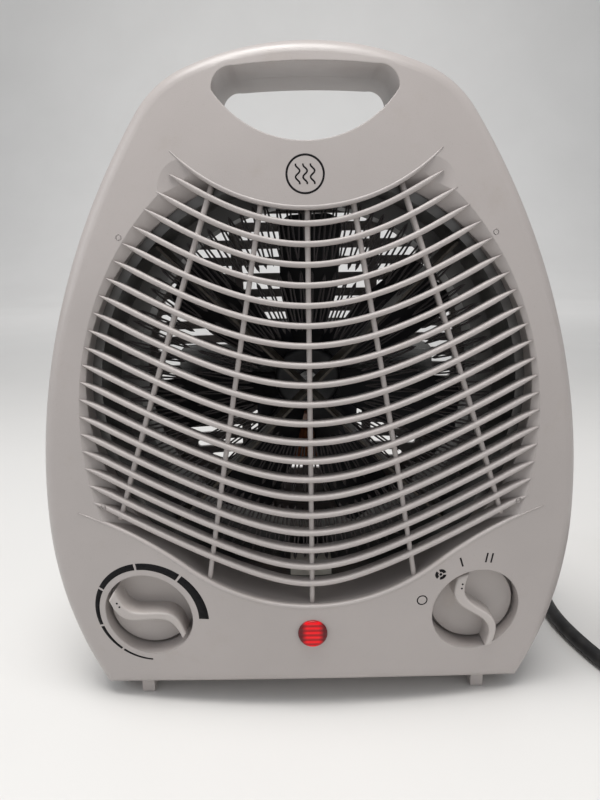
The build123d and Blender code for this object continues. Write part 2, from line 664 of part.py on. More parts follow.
with BuildPart() as indicator_lamp:
    add_rod(0, LAMP_Z, 3.0, -54, -40)
    fillet(indicator_lamp.edges().group_by(Axis.Y)[0], 2)
save(indicator_lamp, "indicator_lamp")

BLOCK_LOW_Z, BLOCK_HEIGHT = 15.0, 12.0
SCREW_SPOTS = ((9, 26), (20, 26), (31, 26))
with BuildPart() as terminal_block:
    with BuildSketch(Plane.XY.offset(BLOCK_LOW_Z)):
        with Locations((20, 26)):
            Rectangle(34, 14)
    extrude(amount=BLOCK_HEIGHT)
    fillet(terminal_block.edges().filter_by(Axis.Z), 2)
    with BuildSketch(Plane.XY.offset(BLOCK_LOW_Z + BLOCK_HEIGHT)):
        with Locations(*SCREW_SPOTS):
            Circle(3)
    extrude(amount=-8, mode=Mode.SUBTRACT)
save(terminal_block, "terminal_block")

with BuildPart() as terminal_screws:
    with BuildSketch(Plane.XY.offset(BLOCK_LOW_Z + 4)):
        with Locations(*SCREW_SPOTS):
            Circle(2.6)
    extrude(amount=5)
save(terminal_screws, "terminal_screws")

# leads: from the cord and the terminal block to the controls, and up to the element
lead_routes = (
    [(9, 19, 21), (9, 12, 21), (-25, -4, 25), (-55, -10, 34), (-64, -16.5, 48)],
    [(20, 19, 21), (20, 11, 21), (34, -8, 32), (54, -4, 43), (60, -6, 48), (60, -12.8, 48)],
    [(31, 33, 21), (31, 36.5, 21), (62, 36.5, 22), (62, 40, 22)],
    [(68, -12.8, 50), (70, -6, 54), (89, -4, 92), (91, -6, 118), (84.5, -7.2, 140), (80, -7.2, 150)],
)
with BuildPart() as internal_leads:
    for route in lead_routes:
        with BuildLine() as path:
            FilletPolyline(*route, radius=2.5)
        with BuildSketch(Plane(path.line @ 0, z_dir=path.line % 0)) as section:
            Circle(1.2)
        sweep(section.sketch, path=path.line)
save(internal_leads, "internal_leads")

# ---------------------------------------------------------------- power cord
GLAND_FLANGE_Y = 56.0
GROOVE_STEP = 4.4
with BuildPart() as strain_relief:
    add_rod(*CORD_EXIT, 5.8, 40, GLAND_FLANGE_Y)
    add_rod(*CORD_EXIT, 8.0, 41, 44.5)
    add_rod(*CORD_EXIT, 8.5, GLAND_FLANGE_Y - 3, GLAND_FLANGE_Y)
    with BuildSketch(at_y(GLAND_FLANGE_Y)):
        with Locations(CORD_EXIT):
            Circle(6.6)
    with BuildSketch(at_y(GLAND_TIP_Y)):
        with Locations(CORD_EXIT):
            Circle(4.5)
    loft()
    for k in range(5):
        with BuildSketch(at_y(GLAND_FLANGE_Y + 2.6 + GROOVE_STEP * k)) as groove:
            with Locations(CORD_EXIT):
                Circle(8)
                Circle(4.9 - 0.22 * k, mode=Mode.SUBTRACT)
        extrude(groove.sketch, amount=-1.8, mode=Mode.SUBTRACT)
save(strain_relief, "strain_relief")

cord_route = [
    (62, 81, 22), (62, 93.5, 22), (64.5, 107.5, 18), (71.5, 120, 11.5), (82.8, 129, 6.2), (97, 134, 3.8),
    (112.5, 133, 3.5), (126.8, 126.2, 3.5), (136.5, 114, 3.5), (141, 99, 3.5), (140.5, 80, 3.5),
    (135.5, 53, 3.5), (127.5, 24, 3.5), (122, -6, 3.5), (121.2, -29, 3.5), (124.5, -48, 3.5),
    (134.5, -63.5, 3.5), (150.5, -73, 3.7), (169, -75.5, 4.2), (196.5, -75.5, 4.3),
]


def run_radii(route):
    """Largest smooth radius at each corner of a route."""
    points = [Vector(*p) for p in route]
    radii = []
    for before, here, after in zip(points, points[1:], points[2:]):
        turn = (here - before).get_angle(after - here)
        run = min((here - before).length, (after - here).length)
        radii.append(0.45 * run / tan(radians(turn / 2)))
    return radii


cord_radii = run_radii(cord_route)
print("cord radii", [round(r) for r in cord_radii])

coil_top = TIE_THICK + 4 * CORD_R
with BuildPart() as cord_coil:
    with BuildSketch(Plane.XY.offset(TIE_THICK)):
        with Locations(COIL_CENTRE):
            Circle(COIL_OUTER_R)
            Circle(COIL_INNER_R, mode=Mode.SUBTRACT)
    extrude(amount=coil_top - TIE_THICK)
    fillet(cord_coil.edges(), 3)
save(cord_coil, "cord_coil")

# the cord's end leaves the coil's upper turn straight
leave_c, leave_s = cos(radians(LEAVE_ANGLE)), sin(radians(LEAVE_ANGLE))
leave_way = Vector(-leave_s, leave_c, 0)
leave_point = Vector(*COIL_CENTRE, coil_top - CORD_R)
leave_point += Vector(leave_c, leave_s, 0) * (COIL_OUTER_R - CORD_R)
tail_axis = Axis(leave_point, leave_way)
TAIL_START, TAIL_END = 16.0, 30.0


def on_tail(distance):
    """Plane across the cord's end, at a distance past the point where it leaves the coil."""
    return Plane(leave_point + leave_way * distance, x_dir=(leave_c, leave_s, 0), z_dir=leave_way)


with BuildPart() as power_cord:
    with BuildLine() as path:
        FilletPolyline(*cord_route, radius=cord_radii)
    with BuildSketch(Plane(path.line @ 0, z_dir=path.line % 0)) as section:
        Circle(CORD_R)
    sweep(section.sketch, path=path.line)
    laid = path.wires()[0].length
    ratio = power_cord.part.volume / (pi * CORD_R**2 * laid)
    print("cord laid", round(laid), "volume ratio", round(ratio, 4))
    with BuildSketch(on_tail(TAIL_START)) as tail:
        Circle(CORD_R)
    extrude(tail.sketch, amount=TAIL_END - TAIL_START)
save(power_cord, "power_cord")

with BuildPart() as cord_tie:
    tie_c, tie_s = cos(radians(TIE_ANGLE)), sin(radians(TIE_ANGLE))
    tie_plane = Plane((*COIL_CENTRE, 0), x_dir=(tie_c, tie_s, 0), z_dir=(tie_s, -tie_c, 0))
    coil_width = COIL_OUTER_R - COIL_INNER_R
    with BuildSketch(tie_plane):
        with Locations(((COIL_INNER_R + COIL_OUTER_R) / 2, coil_top / 2 + TIE_THICK / 2)):
            RectangleRounded(coil_width + 2.4 * TIE_THICK, coil_top + TIE_THICK, 3)
    extrude(amount=2.5, both=True)
    add(cord_coil.part, mode=Mode.SUBTRACT)
save(cord_tie, "cord_tie")

BOOT_LENGTH, SHOULDER_LENGTH, GRIP_LENGTH, PIN_LENGTH = 24.0, 16.0, 20.0, 19.0
shoulder_at = TAIL_END + BOOT_LENGTH
grip_at = shoulder_at + SHOULDER_LENGTH
pins_at = grip_at + GRIP_LENGTH
with BuildPart() as plug_body:
    with BuildSketch(on_tail(TAIL_END)):
        Circle(4.6)
    with BuildSketch(on_tail(shoulder_at)):
        Circle(7.5)
    loft()
    with BuildSketch(on_tail(shoulder_at)):
        RectangleRounded(17, 14, 6.5)
    with BuildSketch(on_tail(grip_at)):
        RectangleRounded(34, 22, 9)
    loft()
    with BuildSketch(on_tail(grip_at)):
        RectangleRounded(34, 22, 9)
    extrude(amount=GRIP_LENGTH)
    fillet(plug_body.edges().group_by(tail_axis)[-1], 1.5)
save(plug_body, "plug_body")

with BuildPart() as plug_pins:
    with BuildSketch(on_tail(pins_at)):
        with Locations((-9.5, 0), (9.5, 0)):
            Circle(2.4)
    extrude(amount=PIN_LENGTH)
    fillet(plug_pins.edges().group_by(tail_axis)[-1], 1.2)
save(plug_pins, "plug_pins")
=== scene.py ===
import json
import random
from math import cos, exp, hypot, pi, radians, sin, sqrt

import bmesh
import bpy
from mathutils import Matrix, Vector


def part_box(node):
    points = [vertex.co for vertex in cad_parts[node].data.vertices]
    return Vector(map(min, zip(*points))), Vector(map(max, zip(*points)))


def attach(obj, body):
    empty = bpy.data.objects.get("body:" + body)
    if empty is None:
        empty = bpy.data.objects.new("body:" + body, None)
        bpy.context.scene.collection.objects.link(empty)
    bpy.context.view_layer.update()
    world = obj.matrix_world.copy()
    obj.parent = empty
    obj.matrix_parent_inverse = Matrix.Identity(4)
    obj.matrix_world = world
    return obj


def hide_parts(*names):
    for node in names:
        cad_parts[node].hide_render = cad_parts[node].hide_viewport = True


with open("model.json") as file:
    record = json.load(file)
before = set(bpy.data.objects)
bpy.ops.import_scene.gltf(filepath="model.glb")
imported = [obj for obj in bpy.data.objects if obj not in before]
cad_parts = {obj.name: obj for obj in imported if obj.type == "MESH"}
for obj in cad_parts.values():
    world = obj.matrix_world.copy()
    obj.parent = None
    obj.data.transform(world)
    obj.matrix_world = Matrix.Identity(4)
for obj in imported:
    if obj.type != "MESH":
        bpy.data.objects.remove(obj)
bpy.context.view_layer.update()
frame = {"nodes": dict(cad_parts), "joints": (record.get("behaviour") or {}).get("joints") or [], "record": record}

nodes = frame["nodes"]
joints = {joint["name"]: joint for joint in frame["joints"]}
MM = 0.001

# ---------------------------------------------------------------- sizes shared with the CAD model
FACE_Y, FACE_PLAN_R, FACE_PROFILE_R, BELLY_Z = -59.0, 450.0, 700.0, 82.0
AIR_Z = joints["fan_spin"]["pos_m"][2] / MM
LIP_Z = 50.3
BAR_COUNT, TOP_BAR_Z, LOW_BAR_Z = 20, 199.8, 60.1
BAR_THICK, BAR_FRONT, BAR_BACK = 2.2, 0.4, 6.0
RIB_THICK, RIB_FRONT, RIB_BACK = 2.0, 2.2, 7.2
BROW_Z, BROW_R = 204.8, 70.0
LEFT_KNOB = joints["thermostat_turn"]["pos_m"]
RIGHT_KNOB = joints["selector_turn"]["pos_m"]
CORD_R = 3.5


def face_y(x, z):
    """Depth of the heater's front face, in millimetres."""
    radius = FACE_PLAN_R - FACE_PROFILE_R + sqrt(FACE_PROFILE_R**2 - (z - BELLY_Z) ** 2)
    return FACE_Y + FACE_PLAN_R - sqrt(radius**2 - x**2)


def add_object(name, data):
    obj = bpy.data.objects.new(name, data)
    bpy.context.scene.collection.objects.link(obj)
    return obj


# ---------------------------------------------------------------- camera
EYE = (-4.4, -275.0, 188.4)
LOOK_DOWN, LOOK_RIGHT, ROLL = 13.5, 0.17, 0.9
camera_data = bpy.data.cameras.new("camera")
camera_data.lens = 27.05
camera_data.sensor_width = 36.0
camera_data.clip_start = 0.01
camera = add_object("camera", camera_data)
camera.location = [v * MM for v in EYE]
camera.rotation_euler = (radians(90 - LOOK_DOWN), 0, radians(-LOOK_RIGHT))
camera.rotation_euler.rotate_axis("Z", radians(-ROLL))
bpy.context.scene.camera = camera


# ---------------------------------------------------------------- materials
def shader_material(name, color, roughness, metallic=0.0, **inputs):
    """New material, its node tree and its shader; inputs are sockets with _ for a space."""
    mat = bpy.data.materials.new(name)
    mat.use_nodes = True
    tree = mat.node_tree
    shader = tree.nodes["Principled BSDF"]
    shader.inputs["Base Color"].default_value = (*color, 1)
    shader.inputs["Roughness"].default_value = roughness
    shader.inputs["Metallic"].default_value = metallic
    for key, value in inputs.items():
        shader.inputs[key.replace("_", " ")].default_value = value
    return mat, tree, shader


def add_node(tree, kind, inputs=(), **settings):
    node = tree.nodes.new(kind)
    for key, value in settings.items():
        setattr(node, key, value)
    for key, value in dict(inputs).items():
        if isinstance(value, bpy.types.NodeSocket):
            tree.links.new(value, node.inputs[key])
        else:
            node.inputs[key].default_value = value
    return node


def place(tree):
    """Object coordinates: metres in the heater's own frame."""
    return add_node(tree, "ShaderNodeTexCoord").outputs["Object"]


def noise(tree, scale, detail=4.0, roughness=0.55, vector=None):
    vector = vector or place(tree)
    inputs = {"Vector": vector, "Scale": scale, "Detail": detail, "Roughness": roughness}
    return add_node(tree, "ShaderNodeTexNoise", inputs).outputs["Fac"]


def bands(tree, direction, scale, distortion=0.0):
    """Parallel stripes across one axis."""
    inputs = {"Vector": place(tree), "Scale": scale, "Distortion": distortion}
    return add_node(tree, "ShaderNodeTexWave", inputs, bands_direction=direction).outputs["Fac"]


def ramp(tree, value, stops):
    """Colour ramp over (position, colour) stops."""
    node = add_node(tree, "ShaderNodeValToRGB", {"Fac": value})
    elements = node.color_ramp.elements
    while len(elements) < len(stops):
        elements.new(0.5)
    for element, (position, color) in zip(elements, stops):
        element.position = position
        element.color = (*color, 1)
    return node.outputs["Color"]


def spread(tree, value, low, high, start=0.3, end=0.7):
    inputs = {"Value": value, "From Min": start, "From Max": end, "To Min": low, "To Max": high}
    return add_node(tree, "ShaderNodeMapRange", inputs).outputs["Result"]


def bump(tree, shader, height, depth, strength=1.0, normal=None):
    inputs = {"Height": height, "Distance": depth, "Strength": strength}
    if normal is not None:
        inputs["Normal"] = normal
    node = add_node(tree, "ShaderNodeBump", inputs)
    tree.links.new(node.outputs["Normal"], shader.inputs["Normal"])


def color_by(tree, shader, value, stops):
    """Base colour from a ramp over a value."""
    tree.links.new(ramp(tree, value, stops), shader.inputs["Base Color"])


def roughness_by(tree, shader, value, low, high):
    tree.links.new(spread(tree, value, low, high), shader.inputs["Roughness"])


def soft_edges(tree, radius):
    return add_node(tree, "ShaderNodeBevel", {"Radius": radius}, samples=4).outputs["Normal"]


def mix(tree, factor, first, second, blend="MIX"):
    node = add_node(tree, "ShaderNodeMix", data_type="RGBA", blend_type=blend)
    sockets = node.inputs[0], node.inputs[6], node.inputs[7]  # factor, then the two colours
    for socket, value in zip(sockets, (factor, first, second)):
        if isinstance(value, bpy.types.NodeSocket):
            tree.links.new(value, socket)
        else:
            socket.default_value = value if isinstance(value, float) else (*value, 1)
    return node.outputs[2]


def casing_plastic(name="casing_plastic", tone=(0.43, 0.393, 0.378), edge=0.0007):
    """Warm light grey moulded plastic: fine spark-eroded grain, slight mottling, faint grime."""
    mat, tree, shader = shader_material(name, tone, 0.34, Specular_IOR_Level=0.5)
    light = tuple(min(1, c * 1.035) for c in tone)
    dark = tuple(c * 0.955 for c in tone)
    cloudy = ramp(tree, noise(tree, 14, 5), ((0.35, dark), (0.65, light)))
    specks = ramp(tree, noise(tree, 1400, 2), ((0.66, (1, 1, 1)), (0.74, (0.93, 0.92, 0.9))))
    color = mix(tree, 1.0, cloudy, specks, "MULTIPLY")
    grime = ramp(tree, noise(tree, 60, 8, 0.7), ((0.58, (1, 1, 1)), (0.75, (0.955, 0.94, 0.92))))
    color = mix(tree, 1.0, color, grime, "MULTIPLY")
    tree.links.new(color, shader.inputs["Base Color"])
    roughness_by(tree, shader, noise(tree, 45, 6), 0.28, 0.4)
    bump(tree, shader, noise(tree, 2600, 3), 0.00006, 0.6, soft_edges(tree, edge))
    return mat


def brushed_steel(name, tone, roughness, grain=(1, 1, 60)):
    mat, tree, shader = shader_material(name, tone, roughness, 1.0)
    stretch = add_node(tree, "ShaderNodeMapping", {"Vector": place(tree), "Scale": grain})
    lines = noise(tree, 60, 4, vector=stretch.outputs["Vector"])
    roughness_by(tree, shader, lines, roughness * 0.8, roughness * 1.25)
    tint = tuple(c * 0.8 for c in tone)
    color_by(tree, shader, noise(tree, 35, 5), ((0.3, tint), (0.7, tone)))
    bump(tree, shader, lines, 0.00003, 0.5)
    return mat


def moulded(name, tone, roughness, grain=1800, depth=0.00005, **inputs):
    """Small moulded or pressed part: fine grain, slightly uneven colour."""
    mat, tree, shader = shader_material(name, tone, roughness, **inputs)
    dark = tuple(c * 0.82 for c in tone)
    color_by(tree, shader, noise(tree, 90, 6), ((0.35, dark), (0.65, tone)))
    roughness_by(tree, shader, noise(tree, 160, 4), roughness * 0.85, roughness * 1.15)
    bump(tree, shader, noise(tree, grain, 3), depth, 0.6)
    return mat


def mica_sheet():
    """Pressed mica, browned by heat: small flakes."""
    mat, tree, shader = shader_material("mica", (0.07, 0.058, 0.045), 0.4)
    flakes = add_node(tree, "ShaderNodeTexVoronoi", {"Vector": place(tree), "Scale": 420.0})
    stops = ((0.0, (0.045, 0.036, 0.027)), (0.8, (0.1, 0.084, 0.065)))
    color_by(tree, shader, flakes.outputs["Distance"], stops)
    bump(tree, shader, flakes.outputs["Distance"], 0.0001, 0.5)
    return mat


def wound_copper():
    """Enamelled winding: fine turns across the bobbin."""
    mat, tree, shader = shader_material("copper_winding", (0.42, 0.13, 0.05), 0.35, 0.6)
    turns = bands(tree, "X", 450, 0.6)
    color_by(tree, shader, turns, ((0.1, (0.2, 0.06, 0.03)), (0.8, (0.5, 0.18, 0.07))))
    bump(tree, shader, turns, 0.0002)
    return mat


def stacked_sheets():
    """Edge of a lamination stack, one sheet each half millimetre along Y."""
    mat, tree, shader = shader_material("lamination", (0.12, 0.12, 0.13), 0.45, 0.9)
    sheets = bands(tree, "Y", 320)
    color_by(tree, shader, sheets, ((0.15, (0.05, 0.05, 0.06)), (0.6, (0.2, 0.2, 0.21))))
    bump(tree, shader, sheets, 0.00012)
    return mat


def red_lens():
    """Red lamp lens: moulded bars behind a smooth front, with painted highlight and shade in stripes over the
    bars, and a painted glow in the middle over the lamp, which gives no light here; darker towards the rim.
    """
    gloss = {"Specular_IOR_Level": 0.25, "Coat_Weight": 0.25}
    mat, tree, shader = shader_material("lens_red", (0.5, 0.0, 0.004), 0.22, **gloss)
    bars = bands(tree, "Z", 150)
    # brighter and darker stripes over the bars: painted highlight and painted shade; the bars' bump further down
    # is the real relief
    tone = ramp(tree, bars, ((0.1, (0.32, 0.0, 0.003)), (0.9, (0.8, 0.0, 0.006))))
    # painted glow: base colour and emission brighter within a few millimetres of the middle, over the lamp, which
    # gives no light; darker towards the rim
    sideways = add_node(tree, "ShaderNodeSeparateXYZ", {"Vector": place(tree)}).outputs["X"]
    off_middle = add_node(tree, "ShaderNodeMath", {0: sideways}, operation="ABSOLUTE")
    middle = spread(tree, off_middle.outputs["Value"], 1.0, 0.0, 0.0024, 0.0044)
    tree.links.new(mix(tree, middle, (0.11, 0.0, 0.003), tone), shader.inputs["Base Color"])
    tree.links.new(mix(tree, middle, (0.02, 0.0, 0.0), tone), shader.inputs["Emission Color"])
    # strength of the painted glow
    shader.inputs["Emission Strength"].default_value = 0.22
    bump(tree, shader, bars, 0.0002, 0.6)
    return mat


def lead_rubber():
    """Matt black sheath with faint lengthwise scuffs and dust."""
    black = (0.012, 0.012, 0.013)
    mat, tree, shader = shader_material("cord_rubber", black, 0.45, Specular_IOR_Level=0.4)
    stops = ((0.4, (0.01, 0.01, 0.011)), (0.75, (0.03, 0.029, 0.028)))
    color_by(tree, shader, noise(tree, 180, 6), stops)
    roughness_by(tree, shader, noise(tree, 300, 4), 0.38, 0.58)
    bump(tree, shader, noise(tree, 1500, 3), 0.00005, 0.7)
    return mat


def print_ink():
    """Matt black print, slightly worn."""
    black = (0.005, 0.005, 0.006)
    mat, tree, shader = shader_material("print_ink", black, 0.6, Specular_IOR_Level=0.12)
    stops = ((0.35, (0.004, 0.004, 0.005)), (0.72, (0.012, 0.011, 0.012)))
    color_by(tree, shader, noise(tree, 700, 5), stops)
    bump(tree, shader, noise(tree, 2600, 2), 0.00003, 0.5)
    return mat


MATERIALS = {
    "casing_plastic": casing_plastic(),
    "bright_steel": brushed_steel("bright_steel", (0.55, 0.55, 0.54), 0.3),
    "shield_steel": brushed_steel("shield_steel", (0.2, 0.195, 0.19), 0.36, (1, 60, 1)),
    "mica": mica_sheet(),
    "heating_alloy": brushed_steel("heating_alloy", (0.11, 0.1, 0.1), 0.34),
    "ceramic": moulded("ceramic", (0.68, 0.65, 0.58), 0.3),
    "black_plastic": moulded("black_plastic", (0.018, 0.018, 0.02), 0.38),
    "copper_winding": wound_copper(),
    "lamination": stacked_sheets(),
    "lens_red": red_lens(),
    "lamp_glass": moulded("lamp_glass", (0.85, 0.45, 0.25), 0.12, Transmission_Weight=0.6),
    "lead_sleeve": moulded("lead_sleeve", (0.16, 0.015, 0.02), 0.4),
    "cord_rubber": lead_rubber(),
    "brass": brushed_steel("brass", (0.7, 0.6, 0.38), 0.28),
    "tie": moulded("tie", (0.02, 0.02, 0.021), 0.35),
}
INK = print_ink()
KNOB_PLASTIC = casing_plastic("knob_plastic", (0.47, 0.432, 0.412), 0.0005)


def paint(obj, mat):
    obj.data.materials.clear()
    obj.data.materials.append(mat)


for part in frame["record"]["subparts"]:
    paint(nodes[part["node"]], MATERIALS[part["material_slot"]])
for name in ("thermostat_knob", "selector_knob"):
    paint(nodes[name], KNOB_PLASTIC)


# ---------------------------------------------------------------- mesh helpers
def mesh_object(name, bm):
    """Turn a bmesh into an object of the scene."""
    mesh = bpy.data.meshes.new(name)
    bm.to_mesh(mesh)
    bm.free()
    mesh.shade_smooth()
    return add_object(name, mesh)


def new_piece(name, bm, mat, body):
    """Finish a bmesh, given in millimetres, as a piece that rides on a body."""
    bmesh.ops.scale(bm, vec=(MM, MM, MM), verts=bm.verts)
    bmesh.ops.recalc_face_normals(bm, faces=bm.faces)
    obj = mesh_object(name, bm)
    paint(obj, mat)
    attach(obj, body)
    return obj


def add_tube(bm, rings, closed=False):
    """Skin between rings of points, with flat caps unless it closes on itself."""
    rows = [[bm.verts.new(point) for point in ring] for ring in rings]
    pairs = list(zip(rows, rows[1:])) + ([(rows[-1], rows[0])] if closed else [])
    for near, far in pairs:
        count = len(near)
        for k in range(count):
            bm.faces.new((near[k], near[(k + 1) % count], far[(k + 1) % count], far[k]))
    if not closed:
        bm.faces.new(list(reversed(rows[0])))
        bm.faces.new(rows[-1])


def round_curve(name, points, radius, smoothness, roundness, closed, mat):
    """Round tube along a smooth curve that is drawn towards the points, all in millimetres."""
    curve = bpy.data.curves.new(name, "CURVE")
    curve.dimensions = "3D"
    curve.bevel_depth = radius * MM
    curve.bevel_resolution = roundness
    curve.resolution_u = smoothness
    spline = curve.splines.new("NURBS")
    spline.points.add(len(points) - 1)
    for target, point in zip(spline.points, points):
        target.co = (*[v * MM for v in point], 1)
    spline.order_u = 3
    spline.use_cyclic_u = closed
    spline.use_endpoint_u = not closed
    tube = add_object(name, curve)
    tube.data.materials.append(mat)
    return tube


def strip_section(across, half, front, back):
    """Section of a moulded bar: round in front, drafted towards its back.
    across is the direction square to the bar in the front view; sizes are depths below the face."""
    section = []
    for k in range(9):
        angle = pi * k / 8
        section.append((half * cos(angle), front + half * (1 - sin(angle))))
    wide, narrow = 0.72 * half, 0.5 * half
    section += [(-wide, back - 0.4), (-narrow, back), (narrow, back), (wide, back - 0.4)]
    return [(across[0] * side, depth, across[1] * side) for side, depth in section]


def add_strip(bm, points, half, front, back, taper=0.0):
    """Sweep the section along points (x, z), following the front face.
    Over the taper's length both ends thin to a point that lies just proud of the face."""
    travel = [0.0]
    for (ax, az), (bx, bz) in zip(points, points[1:]):
        travel.append(travel[-1] + hypot(bx - ax, bz - az))
    rings = []
    for k, (x, z) in enumerate(points):
        before, after = points[max(k - 1, 0)], points[min(k + 1, len(points) - 1)]
        along = Vector((after[0] - before[0], after[1] - before[1])).normalized()
        from_end = min(travel[k], travel[-1] - travel[k])
        full = min(from_end / taper, 1.0) if taper else 1.0
        full = full * (2 - full)
        here = TIP_FRONT + (front - TIP_FRONT) * full
        deep = here + 0.9 + (back - here - 0.9) * full
        section = strip_section((-along.y, along.x), 0.12 + (half - 0.12) * full, here, deep)
        depth = face_y(x, z)
        rings.append([(x + sx, depth + sy, z + sz) for sx, sy, sz in section])
    add_tube(bm, rings)


# ---------------------------------------------------------------- grille
TIP_FRONT = -0.22
RIBS = ((0, 207, 0, 48), (16.5, 210, 42.3, 57), (35, 214, 77, 86))  # top x, z and foot x, z
TIP_LENGTH = 11  # over which a bar's end thins to its point


def bar_height(step, x):
    """Height of a bar's centreline; step runs from 0 at the top bar to 1 at the lowest."""
    middle_z = TOP_BAR_Z + (LOW_BAR_Z - TOP_BAR_Z) * step
    tip_rise = 17.4 + 28.0 * step - 12.3 * step**2
    soft = 58 * exp(-1.7 * step)
    slope = sqrt((tip_rise + soft) ** 2 - soft**2) / bar_tip(step)
    return middle_z + hypot(soft, slope * x) - soft


def bar_tip(step):
    """Distance of a bar's tips from the middle."""
    return 48.9 + 100.8 * step - 63.7 * step**2


def even(low, high, count):
    return [low + (high - low) * k / count for k in range(count + 1)]


def build_grille():
    bm = bmesh.new()
    for bar in range(BAR_COUNT):
        step = bar / (BAR_COUNT - 1)
        reach = bar_tip(step) + 1.2
        points = [(x, bar_height(step, x)) for x in even(-reach, reach, 80)]
        add_strip(bm, points, BAR_THICK / 2, BAR_FRONT, BAR_BACK, taper=TIP_LENGTH)
    for top_x, top_z, low_x, low_z in RIBS:
        for side in {-1, 1} if top_x else {1}:
            points = [(side * (top_x + (low_x - top_x) * t), top_z + (low_z - top_z) * t)
                      for t in even(0, 1, 24)]
            add_strip(bm, points, RIB_THICK / 2, RIB_FRONT, RIB_BACK)
    grille = new_piece("grille_bars", bm, MATERIALS["casing_plastic"], "root")
    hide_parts("front_grille")


def lip_line():
    """Upper edge of the lower panel, from left to right: a hollow arc between two horns."""
    low_r, low_turn, horn_r, horn_turn = 83.0, 37.0, 138.1, 20.7
    half = [(low_r * sin(radians(a)), LIP_Z + low_r * (1 - cos(radians(a))))
            for a in even(0, low_turn, 18)]
    x, z = half[-1]
    cx, cz = x + horn_r * sin(radians(low_turn)), z - horn_r * cos(radians(low_turn))
    for a in even(low_turn, low_turn - horn_turn, 24)[1:]:
        half.append((cx - horn_r * sin(radians(a)), cz + horn_r * cos(radians(a))))
    return [(-x, z) for x, z in reversed(half[1:])] + half


def brow_line():
    """Lower edge of the brow, from left to right."""
    spread_angle = 45.5
    return [(BROW_R * sin(radians(a)), BROW_Z + BROW_R * (1 - cos(radians(a))))
            for a in even(-spread_angle, spread_angle, 60)]


def build_edges():
    """Rounded, slightly raised edges of the brow and of the lower panel."""
    bm = bmesh.new()
    for line, shift, taper in ((lip_line(), -0.55, 30), (brow_line(), 0.55, 24)):
        add_strip(bm, [(x, z + shift) for x, z in line], 0.95, -0.16, 3.0, taper=taper)
    new_piece("outlet_edges", bm, MATERIALS["casing_plastic"], "root")


build_grille()
build_edges()


# ---------------------------------------------------------------- printed marks
PRINT_LIFT, PRINT_DEPTH = 0.03, 0.08


def add_band(bm, inner, outer):
    """Thin printed band between two lines of (x, z) points, lying on the front face."""
    rings = []
    for a, b in zip(inner, outer):
        corners = ((a, PRINT_LIFT), (b, PRINT_LIFT), (b, -PRINT_DEPTH), (a, -PRINT_DEPTH))
        rings.append([(x, face_y(x, z) - lift, z) for (x, z), lift in corners])
    add_tube(bm, rings)


def arc_points(cx, cz, radius, start, end, count):
    """Points on an arc; radius may be a function of the angle in degrees."""
    points = []
    for k in range(count + 1):
        angle = start + (end - start) * k / count
        r = radius(angle) if callable(radius) else radius
        points.append((cx + r * cos(radians(angle)), cz + r * sin(radians(angle))))
    return points


def add_arc(bm, cx, cz, inner, outer, start, end):
    count = max(4, int(abs(end - start) / 3))
    edges = [arc_points(cx, cz, radius, start, end, count) for radius in (inner, outer)]
    add_band(bm, *edges)


def add_stroke(bm, points, width):
    """Line of even width through (x, z) points."""
    left, right = [], []
    for k, (x, z) in enumerate(points):
        before, after = points[max(k - 1, 0)], points[min(k + 1, len(points) - 1)]
        along = Vector((after[0] - before[0], after[1] - before[1])).normalized() * (width / 2)
        left.append((x - along.y, z + along.x))
        right.append((x + along.y, z - along.x))
    add_band(bm, left, right)


def build_marks():
    bm = bmesh.new()
    # thermostat scale: a band that tapers from hot to cold, with gaps between its steps
    cx, cz = LEFT_KNOB[0] / MM, LEFT_KNOB[2] / MM
    inner_r, hot_width, cold_width, full_turn, half_gap = 21.4, 4.1, 0.7, 270, 1.2
    gaps = (0, 53, 100, 151, 198, 234, full_turn)
    for start, end in zip(gaps, gaps[1:]):
        first = start + (half_gap if start else 0)
        last = end - (half_gap if end < full_turn else 0)
        narrowing = (hot_width - cold_width) / full_turn
        add_arc(bm, cx, cz, inner_r, lambda a: inner_r + hot_width - narrowing * a, first, last)
    # selector: off, fan only, low heat, high heat
    cx, cz = RIGHT_KNOB[0] / MM, RIGHT_KNOB[2] / MM
    mark_r = 24.3
    at = {name: (cx + mark_r * cos(radians(a)), cz + mark_r * sin(radians(a))) for name, a in
          (("off", 163), ("fan", 131), ("low", 108), ("high", 80))}
    add_arc(bm, *at["off"], 1.75, 2.25, 0, 360)
    fx, fz = at["fan"]
    for blade in (20, 140, 260):
        add_arc(bm, fx, fz, 1.05, 2.35, blade, blade + 92)
    add_arc(bm, fx, fz, 0.05, 0.6, 0, 360)
    for name, shift in (("low", 0), ("high", -1.15), ("high", 1.15)):
        x, z = at[name]
        out = Vector((x - cx, z - cz)).normalized()
        side = Vector((-out.y, out.x)) * shift
        ends = [(x + side.x + out.x * t, z + side.y + out.y * t) for t in (-2.1, 0, 2.1)]
        add_stroke(bm, ends, 0.7)
    # plain warm-air mark over the grille: a ring with three wavy lines
    sx, sz, ring_r, wave_half = -0.6, 217.0, 7.1, 3.6
    add_arc(bm, sx, sz, ring_r - 0.75, ring_r, 0, 360)
    for shift in (-2.7, 0, 2.7):
        heights = [wave_half * (k / 12 - 1) for k in range(25)]
        wave = [(sx + shift + 0.75 * sin(z * 1.45), sz + z) for z in heights]
        add_stroke(bm, wave, 0.62)
    new_piece("printed_marks", bm, INK, "root")


def build_moulding_marks():
    """Four small round witness marks beside the outlet."""
    bm = bmesh.new()
    for x, z in ((70, 196), (83, 92)):
        for side in (-1, 1):
            add_arc(bm, side * x, z, 0.75, 1.2, 0, 360)
    new_piece("moulding_marks", bm, MATERIALS["casing_plastic"], "root")


LEFT_GRIP_ANGLE, RIGHT_GRIP_ANGLE = 147, 111  # where the grips' pointing ends are, from +X


